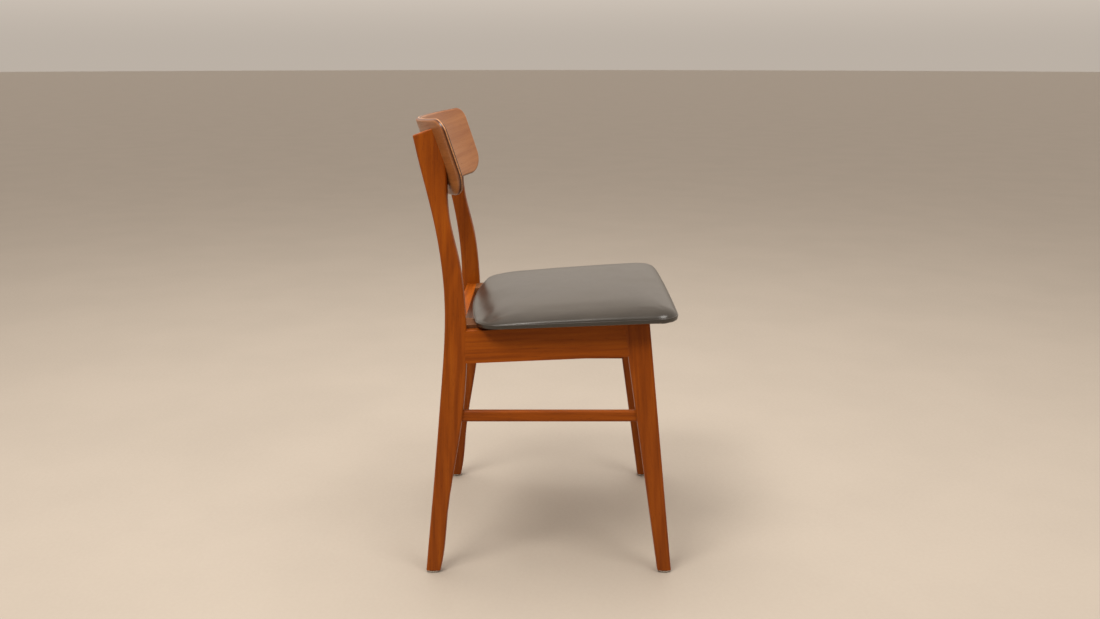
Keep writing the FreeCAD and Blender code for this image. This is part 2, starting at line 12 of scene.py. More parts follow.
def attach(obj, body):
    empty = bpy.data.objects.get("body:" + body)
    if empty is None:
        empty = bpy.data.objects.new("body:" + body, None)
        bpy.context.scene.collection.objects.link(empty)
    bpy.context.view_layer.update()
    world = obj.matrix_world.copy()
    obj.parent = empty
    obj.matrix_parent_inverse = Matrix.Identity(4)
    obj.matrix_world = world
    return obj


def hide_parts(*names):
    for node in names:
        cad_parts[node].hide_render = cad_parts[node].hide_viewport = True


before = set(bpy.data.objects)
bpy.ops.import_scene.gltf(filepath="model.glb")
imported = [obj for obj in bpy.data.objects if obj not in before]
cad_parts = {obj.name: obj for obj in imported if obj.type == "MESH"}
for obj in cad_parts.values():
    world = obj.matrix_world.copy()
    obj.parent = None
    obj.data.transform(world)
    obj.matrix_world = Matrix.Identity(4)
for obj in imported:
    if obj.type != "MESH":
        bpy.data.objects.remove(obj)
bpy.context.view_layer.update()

# ---- driving dimensions -------------------------------------------------------------------------
SHIFT_Y = -0.0092  # from the chair's own origin line to the middle of its box

# Seat: the board's underside lies on a plane that rises towards the front.
SEAT_PLANE_Z = 0.4344
SEAT_RISE_SLOPE = 0.0436
SEAT_HALF_WIDTH_FRONT = 0.2260
SEAT_HALF_WIDTH_REAR = 0.2190
SEAT_FRONT_Y = -0.2145
SEAT_FRONT_BOW = 0.0025
SEAT_REAR_Y = 0.118
SEAT_REAR_BOW = 0.022
SEAT_FRONT_CORNER = 0.036
SEAT_REAR_CORNER = 0.045
SEAT_CROWN = 0.0276
SEAT_CROWN_RADIUS = 3.6
SEAT_CROWN_CENTRE_Y = -0.150
SEAT_ROLL = 0.034  # how far in from its edge the pad is rolled over
ROLL_POWER_IN = 2.4  # the roll is a superellipse with these two powers
ROLL_POWER_UP = 1.75
PAD_INSET = 0.0016  # the pad stands this far in from the board's rim
PAD_FOOT = 0.0062  # height at which the pad meets the rim
PAD_LEAST = 0.0100  # the pad is nowhere thinner than this, measured from the board's underside
PAD_UNDERSIDE = 0.0030  # inside the board, out of sight
PAD_RINGS = (0.0, 0.0004, 0.0011, 0.0022, 0.0037, 0.0056, 0.0080, 0.0110, 0.0145, 0.0185, 0.0228, 0.0270)
ACROSS_STEPS = 160  # points on the front and rear of the outline before it is spaced out again
DEEP_STEPS = 120  # points on its sides
CORNER_SEGMENTS = 12
WIDE_CELLS = 66
DEEP_CELLS = 46

# Cloth simulation of the pad, and what is done to its result.
CLOTH_FRAMES = 20
CLOTH_QUALITY = 6
CLOTH_MASS = 0.45
CLOTH_TENSION = 40
CLOTH_COMPRESSION = 10
CLOTH_SHEAR = 20
CLOTH_BENDING = 30
CLOTH_PRESSURE = 1.0
CLOTH_LIMIT = 0.003  # no point ends further than this from where it started
CREASE_EASING = 14
UNEVEN_ABOVE = 0.008  # the slight unevenness starts this high over the board's underside
UNEVEN_DEPTH = 0.00035
UNEVEN_WAVES = 13  # per metre
UNEVEN_SEED = 2.5

# Cover round the board's edge and turned under it.
COVER_TURN_UNDER = 0.022
TRIM_FROM = 0.020  # beyond this distance in, the cut end is uneven
TRIM_DEPTH = 0.0012
TRIM_WAVES = 60
TRIM_SEED = 4.0
PLEAT_DEPTH = 0.0016
PLEAT_WAVES = 420  # radians per metre of edge
PLEAT_DRIFT = 1.3  # radians by which the spacing wanders
PLEAT_DRIFT_WAVES = 90
PLEAT_REAR_SHARE = 0.4  # depth of the rear corners' pleats against the front corners'
FRAME_FRONT_Y = -0.172  # the pleats are under the corners that overhang the frame
FRAME_REAR_Y = 0.075
FRAME_SIDE_X = 0.168
FRAME_EASE = 0.02

# Distance in from the edge, height over the board's underside, share of the pleats' depth.
RIM_PROFILE = (
    (0.0030, 0.0066, 0),
    (0.0017, 0.0067, 0),
    (0.0008, 0.0066, 0),
    (0.0002, 0.0061, 0),
    (0.0000, 0.0054, 0),
    (0.0002, 0.0046, 0),
    (0.0005, 0.0034, 0),
    (0.0008, 0.0018, 0),
    (0.0011, 0.0003, 0.1),
    (0.0020, -0.0009, 0.5),
    (0.0045, -0.0011, 1),
    (0.0090, -0.0011, 1),
    (0.0150, -0.0011, 1),
    (COVER_TURN_UNDER - 0.0012, -0.0011, 1),
    (COVER_TURN_UNDER, -0.0006, 0.6),
    (COVER_TURN_UNDER, 0.0004, 0),
)

# Backrest panel: bent round an axis that leans back with it.
PANEL_MIDDLE = Vector((0, 0.2130 + SHIFT_Y, 0.6926))
PANEL_TILT = math.radians(18)
PANEL_REAR_RADIUS = 0.392
PANEL_THICKNESS = 0.0096
VENEER_DEPTH = (0.0007, 0.0011)  # from the faces in, where the face veneer gives way to the plies

# Camera: eye height, distance and lens that give the photograph's perspective.
CAMERA_AT = Vector((-1.9637, SHIFT_Y, 0.8737))
CAMERA_DOWN = math.radians(13.2)
CAMERA_LENS = 35.67

# ---- colours, linear ----------------------------------------------------------------------------
TEAK_DARK = (0.160, 0.030, 0.0015)
TEAK_MIDDLE = (0.285, 0.062, 0.0030)
TEAK_LIGHT = (0.390, 0.100, 0.0060)
VENEER_DARK = (0.250, 0.080, 0.022)
VENEER_MIDDLE = (0.345, 0.132, 0.038)
VENEER_LIGHT = (0.430, 0.180, 0.060)
EDGE_FLECK = (0.060, 0.015, 0.004)
EDGE_PLIES = (  # share of the thickness from the rear face, and colour
    (0.00, (0.250, 0.080, 0.022)),
    (0.20, (0.220, 0.070, 0.018)),
    (0.28, (0.060, 0.016, 0.004)),
    (0.44, (0.050, 0.013, 0.003)),
    (0.50, (0.460, 0.205, 0.080)),
    (0.66, (0.480, 0.220, 0.088)),
    (0.72, (0.050, 0.013, 0.003)),
    (0.93, (0.040, 0.011, 0.003)),
    (1.00, (0.160, 0.048, 0.012)),
)
BEECH_DARK = (0.085, 0.027, 0.008)
BEECH_LIGHT = (0.190, 0.072, 0.024)
PLY_DARK = (0.30, 0.17, 0.08)
PLY_LIGHT = (0.52, 0.34, 0.18)
VINYL_COLOUR = (0.031, 0.025, 0.019)
VINYL_WORN = (0.045, 0.037, 0.028)
# painted shade: the dark colour put into the crevices of the vinyl's pebble grain
VINYL_CREVICE_SHADE = (0.012, 0.010, 0.008)
NICKEL_COLOUR = (0.72, 0.69, 0.64)
NICKEL_DULL = (0.40, 0.36, 0.31)
STEEL_COLOUR = (0.52, 0.51, 0.49)
STEEL_DULL = (0.26, 0.24, 0.22)
RUBBER_COLOUR = (0.012, 0.011, 0.010)
RUBBER_WORN = (0.045, 0.041, 0.036)
FOAM_DARK = (0.55, 0.42, 0.20)
FOAM_LIGHT = (0.75, 0.62, 0.36)
FLOOR_COLOUR = (0.40, 0.35, 0.295)
WALL_COLOUR = (0.96, 0.85, 0.74)
HORIZON_COLOUR = (0.50, 0.44, 0.38)
CEILING_COLOUR = (0.92, 0.81, 0.71)

# ---- light from all round -----------------------------------------------------------------------
HORIZON_HEIGHT = 0.0  # heights are the Z of the direction that is looked in
WALL_LOW = 0.16
WALL_HIGH = 0.34
CEILING_HEIGHT = 0.95
WORLD_STRENGTH = 1.0
DIM_SHARE = 0.32  # strength on the dim side, where the direction's X is DIM_X or less
DIM_X = -0.9
BRIGHT_X = 0.5

# ---- wood: how much each layer of the grain counts ------------------------------------------------
RING_SHARE = 0.20
STREAK_SHARE = 0.80
FIBRE_SHARE = 0.26
TONE_SHIFT = 0.14
PATCH_SHARE = 0.30
PORE_DARKNESS = 0.35  # pore colour against the dark tone


# ---- node helpers -------------------------------------------------------------------------------
class Nodes:
    """Short names for the shader nodes used below."""

    def __init__(self, name):
        self.material = bpy.data.materials.new(name)
        self.material.use_nodes = True
        self.tree = self.material.node_tree
        self.shader = self.tree.nodes["Principled BSDF"]

    def add(self, kind, **settings):
        node = self.tree.nodes.new(kind)
        for key, value in settings.items():
            setattr(node, key, value)
        return node

    def link(self, source, target):
        self.tree.links.new(source, target)

    def feed(self, socket, value):
        if isinstance(value, bpy.types.NodeSocket):
            self.link(value, socket)
        else:
            socket.default_value = value

    def place(self):
        return self.add("ShaderNodeTexCoord").outputs["Object"]

    def mapped(self, vector, location=(0, 0, 0), rotation=(0, 0, 0), scale=(1, 1, 1)):
        node = self.add("ShaderNodeMapping")
        self.link(vector, node.inputs["Vector"])
        node.inputs["Location"].default_value = location
        node.inputs["Rotation"].default_value = rotation
        node.inputs["Scale"].default_value = scale
        return node.outputs["Vector"]

    def noise(self, vector, scale, detail=3.0, roughness=0.5, distortion=0.0, output="Fac"):
        node = self.add("ShaderNodeTexNoise")
        self.link(vector, node.inputs["Vector"])
        node.inputs["Scale"].default_value = scale
        node.inputs["Detail"].default_value = detail
        node.inputs["Roughness"].default_value = roughness
        node.inputs["Distortion"].default_value = distortion
        return node.outputs[output]

    def maths(self, operation, first, second=0.0):
        node = self.add("ShaderNodeMath", operation=operation)
        self.feed(node.inputs[0], first)
        self.feed(node.inputs[1], second)
        return node.outputs[0]

    def ranged(self, value, low, high, to_low=0.0, to_high=1.0):
        node = self.add("ShaderNodeMapRange", interpolation_type="SMOOTHSTEP")
        self.feed(node.inputs["Value"], value)
        node.inputs["From Min"].default_value = low
        node.inputs["From Max"].default_value = high
        node.inputs["To Min"].default_value = to_low
        node.inputs["To Max"].default_value = to_high
        return node.outputs["Result"]

    def ramp(self, value, stops):
        node = self.add("ShaderNodeValToRGB")
        self.feed(node.inputs["Fac"], value)
        elements = node.color_ramp.elements
        while len(elements) < len(stops):
            elements.new(0.5)
        for element, (position, colour) in zip(elements, stops):
            element.position = position
            element.color = (*colour, 1)
        return node.outputs["Color"]

    def mix(self, amount, first, second):
        node = self.add("ShaderNodeMix", data_type="RGBA")
        self.feed(node.inputs["Factor"], amount)
        for socket, value in ((node.inputs["A"], first), (node.inputs["B"], second)):
            if isinstance(value, tuple):
                value = (*value, 1)
            self.feed(socket, value)
        return node.outputs["Result"]

    def bump(self, height, strength, distance, normal=None):
        node = self.add("ShaderNodeBump")
        self.link(height, node.inputs["Height"])
        node.inputs["Strength"].default_value = strength
        node.inputs["Distance"].default_value = distance
        if normal is not None:
            self.link(normal, node.inputs["Normal"])
        return node.outputs["Normal"]

    def vector_maths(self, operation, first):
        node = self.add("ShaderNodeVectorMath", operation=operation)
        self.link(first, node.inputs[0])
        return node

    def split(self, vector):
        node = self.add("ShaderNodeSeparateXYZ")
        self.link(vector, node.inputs[0])
        return node.outputs

    def finish(self, colour, roughness, normal, **sockets):
        self.feed(self.shader.inputs["Base Color"], colour)
        self.feed(self.shader.inputs["Roughness"], roughness)
        self.link(normal, self.shader.inputs["Normal"])
        for name, value in sockets.items():
            self.shader.inputs[name.replace("_", " ")].default_value = value
        return self.material


# ---- wood ---------------------------------------------------------------------------------------
def wood_layers(n, at, tones, seed, bands, pores, roughness):
    """Colour, roughness and normal of sawn wood, from coordinates whose Z runs along the grain."""
    dark, middle, light = tones
    grain = n.mapped(at, location=(seed * 1.37, seed * 0.71, seed * 0.53))

    def layer(stretch, scale, detail, rough=0.5, distortion=0.0):
        drawn_out = n.mapped(grain, scale=(1, 1, stretch))
        return n.noise(drawn_out, scale, detail, rough, distortion)

    broad = layer(0.10, 16, detail=3, rough=0.55, distortion=0.6)
    rings = n.maths("FRACT", n.maths("MULTIPLY", broad, bands))
    rings = n.ranged(n.maths("ABSOLUTE", n.maths("SUBTRACT", rings, 0.5)), 0.05, 0.5)
    streaks = layer(0.035, 150, detail=4, rough=0.6, distortion=0.3)
    fibres = layer(0.020, 620, detail=3, rough=0.6)
    ring_part = n.maths("MULTIPLY", rings, RING_SHARE)
    streak_part = n.maths("MULTIPLY", streaks, STREAK_SHARE)
    tone = n.maths("ADD", ring_part, streak_part)
    tone = n.maths("ADD", tone, n.maths("MULTIPLY", fibres, FIBRE_SHARE))
    tone = n.maths("SUBTRACT", tone, TONE_SHIFT)
    colour = n.ramp(tone, ((0.18, dark), (0.52, middle), (0.90, light)))
    patch = n.ranged(layer(0.22, 11, detail=2), 0.35, 0.75)
    colour = n.mix(n.maths("MULTIPLY", patch, PATCH_SHARE), colour, dark)
    dashes = n.ranged(layer(0.045, 1500, detail=2), 0.60, 0.72)
    pore_colour = tuple(channel * PORE_DARKNESS for channel in dark)
    colour = n.mix(n.maths("MULTIPLY", dashes, pores), colour, pore_colour)
    rough = n.ranged(streaks, 0.2, 0.8, roughness + 0.07, roughness - 0.05)
    rough = n.maths("ADD", rough, n.maths("MULTIPLY", dashes, 0.18))
    relief = n.maths("SUBTRACT", n.maths("MULTIPLY", fibres, 0.6), dashes)
    return colour, rough, n.bump(relief, strength=0.22, distance=0.00025)


def wood(name, grain_vector, tones, seed, bands=5.0, pores=0.45, roughness=0.38, gloss=0.15):
    """Sawn wood. grain_vector(n) gives coordinates whose Z runs along the grain."""
    n = Nodes(name)
    colour, rough, normal = wood_layers(n, grain_vector(n), tones, seed, bands, pores, roughness)
    return n.finish(colour, rough, normal, Specular_IOR_Level=gloss)


def along(axis):
    """Grain coordinates for a straight piece: Z of the result runs along axis."""
    turn = Vector(axis).to_track_quat("Z", "Y").inverted().to_euler()

    def coordinates(n):
        return n.mapped(n.place(), rotation=tuple(turn))

    return coordinates


def panel_coordinates(n):
    """Unrolls the bent panel: X is the distance from its axis, Y runs up its face, Z along the bend."""
    to_panel = Matrix.Rotation(PANEL_TILT, 4, "X")
    backwards = Vector((0, math.cos(PANEL_TILT), -math.sin(PANEL_TILT)))
    moved = to_panel @ (PANEL_MIDDLE - PANEL_REAR_RADIUS * backwards)
    upright = n.split(n.mapped(n.place(), location=tuple(-moved), rotation=(PANEL_TILT, 0, 0)))
    x_squared = n.maths("MULTIPLY", upright["X"], upright["X"])
    y_squared = n.maths("MULTIPLY", upright["Y"], upright["Y"])
    radius = n.maths("SQRT", n.maths("ADD", x_squared, y_squared))
    round_bend = n.maths("ARCTAN2", upright["X"], upright["Y"])
    join = n.add("ShaderNodeCombineXYZ")
    n.link(radius, join.inputs["X"])
    n.link(upright["Z"], join.inputs["Y"])
    n.link(n.maths("MULTIPLY", round_bend, PANEL_REAR_RADIUS), join.inputs["Z"])
    return join.outputs[0]


def veneered_panel():
    """Teak face veneers over a core of crossed plies, which show at the rounded edges."""
    n = Nodes("backrest_veneer")
    at = panel_coordinates(n)
    tones = (VENEER_DARK, VENEER_MIDDLE, VENEER_LIGHT)
    face, rough, normal = wood_layers(n, at, tones, 3.1, bands=4.0, pores=0.45, roughness=0.33)
    depth = n.maths("SUBTRACT", PANEL_REAR_RADIUS, n.split(at)["X"])
    edge = n.ramp(n.maths("DIVIDE", depth, PANEL_THICKNESS), EDGE_PLIES)
    flecks = n.noise(n.mapped(at, scale=(60, 900, 900)), 1.0, 3, 0.6)
    edge = n.mix(n.ranged(flecks, 0.35, 0.75, 0.0, 0.45), edge, EDGE_FLECK)
    from_middle = n.maths("ABSOLUTE", n.maths("SUBTRACT", depth, PANEL_THICKNESS / 2))
    thin, thick = VENEER_DEPTH
    inside = n.ranged(from_middle, PANEL_THICKNESS / 2 - thick, PANEL_THICKNESS / 2 - thin, 1, 0)
    return n.finish(n.mix(inside, face, edge), rough, normal, Specular_IOR_Level=0.5)


# ---- other finishes -----------------------------------------------------------------------------
def plywood():
    """Bare board: face veneer with long grain and small dark flecks."""
    tones = (PLY_DARK, PLY_LIGHT, PLY_LIGHT)
    grain = along((1, 0, 0))
    return wood("plywood", grain, tones, 7.7, bands=3.0, pores=0.3, roughness=0.62, gloss=0.25)


def vinyl():
    """Black upholstery vinyl: fine pebbled grain, a soft gloss, a little dust and handling wear, and painted
    shade in the grain's crevices.
    """
    n = Nodes("black_vinyl")
    at = n.place()
    swirl = n.vector_maths("SCALE", n.noise(at, 320, detail=2.0, output="Color"))
    swirl.inputs["Scale"].default_value = 0.0016
    wander = n.vector_maths("ADD", at)
    n.link(swirl.outputs[0], wander.inputs[1])
    cells = n.add("ShaderNodeTexVoronoi", feature="DISTANCE_TO_EDGE")
    n.link(wander.outputs[0], cells.inputs["Vector"])
    cells.inputs["Scale"].default_value = 760
    pebble = n.ranged(cells.outputs["Distance"], 0.0, 0.30)
    fine = n.noise(at, 2600, detail=2, roughness=0.6)
    soft = n.noise(at, 26, detail=3)
    height = n.maths("ADD", n.maths("MULTIPLY", pebble, 0.8), n.maths("MULTIPLY", fine, 0.2))
    normal = n.bump(soft, strength=0.05, distance=0.0008)
    normal = n.bump(height, strength=0.16, distance=0.00012, normal=normal)
    worn = n.ranged(n.noise(at, 9, detail=4, roughness=0.6), 0.35, 0.75)
    colour = n.mix(worn, VINYL_COLOUR, VINYL_WORN)
    # painted shade: the pebble grain's crevices are darkened towards the crevice shade colour
    colour = n.mix(n.ranged(pebble, 0.0, 0.5, 0.5, 0.0), colour, VINYL_CREVICE_SHADE)
    rough = n.ranged(worn, 0.0, 1.0, 0.25, 0.29)
    rough = n.maths("ADD", rough, n.maths("MULTIPLY", fine, 0.06))
    return n.finish(colour, rough, normal, Specular_IOR_Level=0.62)


def metal(name, colour, dull, roughness):
    """Metal with faint scratches and tarnish."""
    n = Nodes(name)
    at = n.place()
    tarnish = n.ranged(n.noise(at, 340, detail=4, roughness=0.6), 0.40, 0.70)
    scratches = n.noise(n.mapped(at, scale=(1, 0.06, 1)), 4200, detail=2)
    shade = n.mix(n.maths("MULTIPLY", tarnish, 0.6), colour, dull)
    rough = n.ranged(tarnish, 0.0, 1.0, roughness, roughness + 0.22)
    normal = n.bump(scratches, strength=0.12, distance=0.00005)
    return n.finish(shade, rough, normal, Metallic=1.0)


def rubber():
    """Dark floor pad of the glides."""
    n = Nodes("glide_rubber")
    grit = n.noise(n.place(), 1800, detail=3, roughness=0.6)
    colour = n.mix(n.ranged(grit, 0.3, 0.8), RUBBER_COLOUR, RUBBER_WORN)
    rough = n.ranged(grit, 0.2, 0.8, 0.62, 0.85)
    return n.finish(colour, rough, n.bump(grit, strength=0.3, distance=0.0002))


def foam():
    """Foam rubber, hidden by the cover."""
    n = Nodes("foam")
    cells = n.noise(n.place(), 900, detail=4, roughness=0.7)
    colour = n.mix(cells, FOAM_DARK, FOAM_LIGHT)
    return n.finish(colour, 0.9, n.bump(cells, strength=0.5, distance=0.0006))


def dress(node, material):
    """Gives a CAD node its finish."""
    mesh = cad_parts[node].data
    for index in range(max(1, len(mesh.materials))):
        if index < len(mesh.materials):
            mesh.materials[index] = material
        else:
            mesh.materials.append(material)


def dress_wood():
    """Every wooden piece gets its own board, with the grain along its length."""
    teak = (TEAK_DARK, TEAK_MIDDLE, TEAK_LIGHT)
    beech = (BEECH_DARK, BEECH_LIGHT, BEECH_LIGHT)
    for side, sign in (("left", 1), ("right", -1)):
        pieces = {
            "rear_leg": (sign * -0.085, -0.02, 1),
            "front_leg": (sign * -0.085, 0.075, 1),
            "side_rail": (0.0, -1.0, SEAT_RISE_SLOPE),
            "stretcher": (0.0, 1.0, 0.0),
        }
        for number, (piece, axis) in enumerate(pieces.items()):
            node = f"{piece}_{side}"
            seed = 1.0 + number * 2.3 + sign * 0.45
            dress(node, wood(f"teak_{node}", along(axis), teak, seed))
        for place in ("front", "rear"):
            node = f"corner_block_{place}_{side}"
            slant = (1.0, sign * (1.0 if place == "front" else -1.0), 0.0)
            seed = 4 + sign
            dress(node, wood(f"beech_{node}", along(slant), beech, seed, bands=3, pores=0.25, roughness=0.6))
    for number, node in enumerate(("front_rail", "rear_rail")):
        dress(node, wood(f"teak_{node}", along((1, 0, 0)), teak, 12.5 + number))
        name = f"beech_{node}_dowels"
        look = wood(name, along((0, 1, 0)), beech, 8, bands=3, pores=0.2, roughness=0.6)
        dress(f"{node}_dowels", look)
    dress("backrest_screw_plugs", wood("teak_plugs", along((0, 0, 1)), teak, 17.3))
    dress("backrest_panel", veneered_panel())
    dress("seat_board", plywood())


def dress_rest():
    """Metal, rubber and foam."""
    dress("glide_caps", metal("nickel", NICKEL_COLOUR, NICKEL_DULL, roughness=0.20))
    steel = metal("fastener_steel", STEEL_COLOUR, STEEL_DULL, roughness=0.34)
    for node in ("seat_screws", "corner_block_screws", "backrest_screws"):
        dress(node, steel)
    for node in ("glide_nails", "seat_cover_staples"):
        dress(node, steel)
    dress("glide_cushions", rubber())
    dress("seat_foam", foam())


# ---- seat pad -----------------------------------------------------------------------------------
def clamped(share):
    return min(1.0, max(0.0, share))


def arc_through(start, middle, end, count):
    """Points on the flat arc through three points, without the last one."""
    chord = (end - start).length
    rise = middle - (start + end) / 2
    sag = rise.length
    radius = (chord * chord / 4 + sag * sag) / (2 * sag)
    towards = rise.normalized()
    centre = middle - towards * radius
    half = math.asin(chord / 2 / radius)
    side = (end - start).normalized()
    points = []
    for step in range(count):
        angle = -half + 2 * half * step / count
        points.append(centre + towards * radius * math.cos(angle) + side * radius * math.sin(angle))
    return points


def sharp_outline():
    """The seat's outline before its corners are rounded: four lists of points, anticlockwise."""
    front_left = Vector((SEAT_HALF_WIDTH_FRONT, SEAT_FRONT_Y))
    front_right = Vector((-SEAT_HALF_WIDTH_FRONT, SEAT_FRONT_Y))
    rear_left = Vector((SEAT_HALF_WIDTH_REAR, SEAT_REAR_Y))
    rear_right = Vector((-SEAT_HALF_WIDTH_REAR, SEAT_REAR_Y))
    front_middle = Vector((0, SEAT_FRONT_Y - SEAT_FRONT_BOW))
    rear_middle = Vector((0, SEAT_REAR_Y + SEAT_REAR_BOW))
    return (
        arc_through(front_right, front_middle, front_left, ACROSS_STEPS),
        [front_left.lerp(rear_left, step / DEEP_STEPS) for step in range(DEEP_STEPS)],
        arc_through(rear_left, rear_middle, rear_right, ACROSS_STEPS),
        [rear_right.lerp(front_right, step / DEEP_STEPS) for step in range(DEEP_STEPS)],
    )


def rounded_corner(corner, before, after, radius):
    """The arc that rounds a corner between two directions, and how far along each side it starts."""
    into = (corner - before).normalized()
    away = (after - corner).normalized()
    turn = into.angle(away)
    setback = radius * math.tan(turn / 2)
    start = corner - into * setback
    inward = Vector((-into.y, into.x))
    centre = start + inward * radius
    points = []
    for step in range(CORNER_SEGMENTS + 1):
        angle = turn * step / CORNER_SEGMENTS
        arm = Matrix.Rotation(angle, 2) @ (start - centre)
        points.append(centre + arm)
    return points, setback


def point_along(points, part):
    """A point part of the way along evenly spaced points."""
    place = part * (len(points) - 1)
    first = min(int(place), len(points) - 2)
    return points[first].lerp(points[first + 1], place - first)


def seat_outline():
    """The rounded outline as an anticlockwise loop, with the index of each corner's middle."""
    sides = sharp_outline()
    corners = []
    radii = (SEAT_FRONT_CORNER, SEAT_REAR_CORNER, SEAT_REAR_CORNER, SEAT_FRONT_CORNER)
    for number in range(4):
        side = sides[number]
        following = sides[(number + 1) % 4]
        corners.append(rounded_corner(following[0], side[-1], following[1], radii[number]))
    loop, middles = [], []
    for number in range(4):
        side = sides[number]
        corner, setback = corners[number]
        earlier = corners[number - 1][1]
        start, end = side[0], sides[(number + 1) % 4][0]
        kept = [p for p in side if (p - start).length > earlier and (p - end).length > setback]
        cells = DEEP_CELLS if number % 2 else WIDE_CELLS
        for step in range(1, cells):
            loop.append(point_along(kept, step / cells))
        middles.append(len(loop) + CORNER_SEGMENTS // 2)
        loop.extend(corner)
    return loop, middles


def inward_normals(loop):
    """Unit vectors from each point of the outline towards its inside."""
    normals = []
    for number, point in enumerate(loop):
        run = loop[(number + 1) % len(loop)] - loop[number - 1]
        normals.append(Vector((-run.y, run.x)).normalized())
    return normals


def inset_loop(loop, inset):
    """The outline moved inwards."""
    return [p + n * inset for p, n in zip(loop, inward_normals(loop))]


def dome(x, y):
    """Height of the pad's crown over the seat plane, away from its rolled edge."""
    back = y - SEAT_CROWN_CENTRE_Y
    height = SEAT_CROWN - (x * x + back * back) / (2 * SEAT_CROWN_RADIUS)
    return max(height, PAD_LEAST)


def rolled(inset):
    """How much of the crown's height is reached at a distance in from the edge."""
    inwards = min(1.0, inset / SEAT_ROLL)
    return (1 - (1 - inwards) ** ROLL_POWER_IN) ** (1 / ROLL_POWER_UP)


def on_seat(x, y, height):
    """From the seat's own flat coordinates to the frame."""
    lean = math.atan(SEAT_RISE_SLOPE)
    back = y * math.cos(lean) + height * math.sin(lean) + SHIFT_Y
    up = SEAT_PLANE_Z - y * math.sin(lean) + height * math.cos(lean)
    return Vector((x, back, up))


def coons(loop, middles):
    """Fills a loop with a grid that has its corners at the loop's corner middles.

    Also gives, for each place on the grid's rim, the number of the loop's point there.
    """
    order = (middles[3], middles[0], middles[1], middles[2])
    runs = []
    for number in range(4):
        first, last = order[number], order[(number + 1) % 4]
        if last <= first:
            last += len(loop)
        runs.append([i % len(loop) for i in range(first, last + 1)])
    front, left = runs[0], runs[1]
    rear, right = runs[2][::-1], runs[3][::-1]
    grid = []
    for j in range(len(left)):
        v = j / (len(left) - 1)
        line = []
        for i in range(len(front)):
            u = i / (len(front) - 1)
            across = loop[right[j]].lerp(loop[left[j]], u)
            deep = loop[front[i]].lerp(loop[rear[i]], v)
            low = loop[front[0]].lerp(loop[front[-1]], u)
            high = loop[rear[0]].lerp(loop[rear[-1]], u)
            line.append(across + deep - low.lerp(high, v))
        grid.append(line)
    rim = {}
    for i in range(len(front)):
        rim[(0, i)] = front[i]
        rim[(len(left) - 1, i)] = rear[i]
    for j in range(len(left)):
        rim[(j, 0)] = right[j]
        rim[(j, len(front) - 1)] = left[j]
    return grid, rim


def distance_in(x, y, loop):
    """Distance from a point inside the loop to the loop."""
    best = 1.0
    for number, end in enumerate(loop):
        start = loop[number - 1]
        run = end - start
        share = clamped(((x - start.x) * run.x + (y - start.y) * run.y) / run.length_squared)
        best = min(best, math.hypot(x - start.x - run.x * share, y - start.y - run.y * share))
    return best


def new_object(name, points, faces, material):
    """A smooth-shaded mesh in the scene."""
    mesh = bpy.data.meshes.new(name)
    mesh.from_pydata([tuple(point) for point in points], [], faces)
    mesh.update()
    mesh.polygons.foreach_set("use_smooth", [True] * len(mesh.polygons))
    mesh.materials.append(material)
    piece = bpy.data.objects.new(name, mesh)
    bpy.context.scene.collection.objects.link(piece)
    return piece


def apply_modifier(piece, modifier):
    bpy.context.view_layer.objects.active = piece
    bpy.ops.object.modifier_apply(modifier=modifier.name)


def ring_faces(rings, count):
    """The faces between rings of points that follow each other in a list of points."""
    for ring in range(rings - 1):
        low, high = ring * count, (ring + 1) * count
        for i in range(count):
            j = (i + 1) % count
            yield [low + i, low + j, high + j, high + i]


def add_grid(points, faces, loop, middles, ring_start, height_at, turned):
    """Closes a ring of points with a grid: adds the points inside it and all the faces."""
    grid, rim = coons(loop, middles)
    number_of = {}
    for j, line in enumerate(grid):
        for i, spot in enumerate(line):
            if (j, i) in rim:
                number_of[(j, i)] = ring_start + rim[(j, i)]
            else:
                number_of[(j, i)] = len(points)
                points.append(on_seat(spot.x, spot.y, height_at(spot.x, spot.y)))
    for j in range(len(grid) - 1):
        for i in range(len(grid[0]) - 1):
            corners = ((j, i), (j, i + 1), (j + 1, i + 1), (j + 1, i))
            face = [number_of[corner] for corner in corners]
            faces.append(face[::-1] if turned else face)


def pad_start(material):
    """The pad before it swells: a closed form, rolled at its edge, on a hidden flat underside."""
    outline, middles = seat_outline()
    edge = inset_loop(outline, PAD_INSET)

    def top_height(x, y):
        return PAD_FOOT + (dome(x, y) - PAD_FOOT) * rolled(distance_in(x, y, edge))

    points, faces = [], []
    wall = (PAD_UNDERSIDE, (PAD_UNDERSIDE + PAD_FOOT) / 2)
    for height in wall:
        points.extend(on_seat(p.x, p.y, height) for p in edge)
    for inset in PAD_RINGS:
        for p in inset_loop(edge, inset):
            height = PAD_FOOT if inset == 0 else top_height(p.x, p.y)
            points.append(on_seat(p.x, p.y, height))
    rings = len(wall) + len(PAD_RINGS)
    count = len(edge)
    faces.extend(ring_faces(rings, count))
    pinned = (len(wall) + 1) * count
    inner = inset_loop(edge, PAD_RINGS[-1])
    add_grid(points, faces, inner, middles, (rings - 1) * count, top_height, turned=False)
    first_hidden = len(points)
    add_grid(points, faces, edge, middles, 0, lambda x, y: PAD_UNDERSIDE, turned=True)
    pad = new_object("seat_cushion", points, faces, material)
    group = pad.vertex_groups.new(name="held")
    group.add(list(range(pinned)) + list(range(first_hidden, len(points))), 1.0, "REPLACE")
    return pad


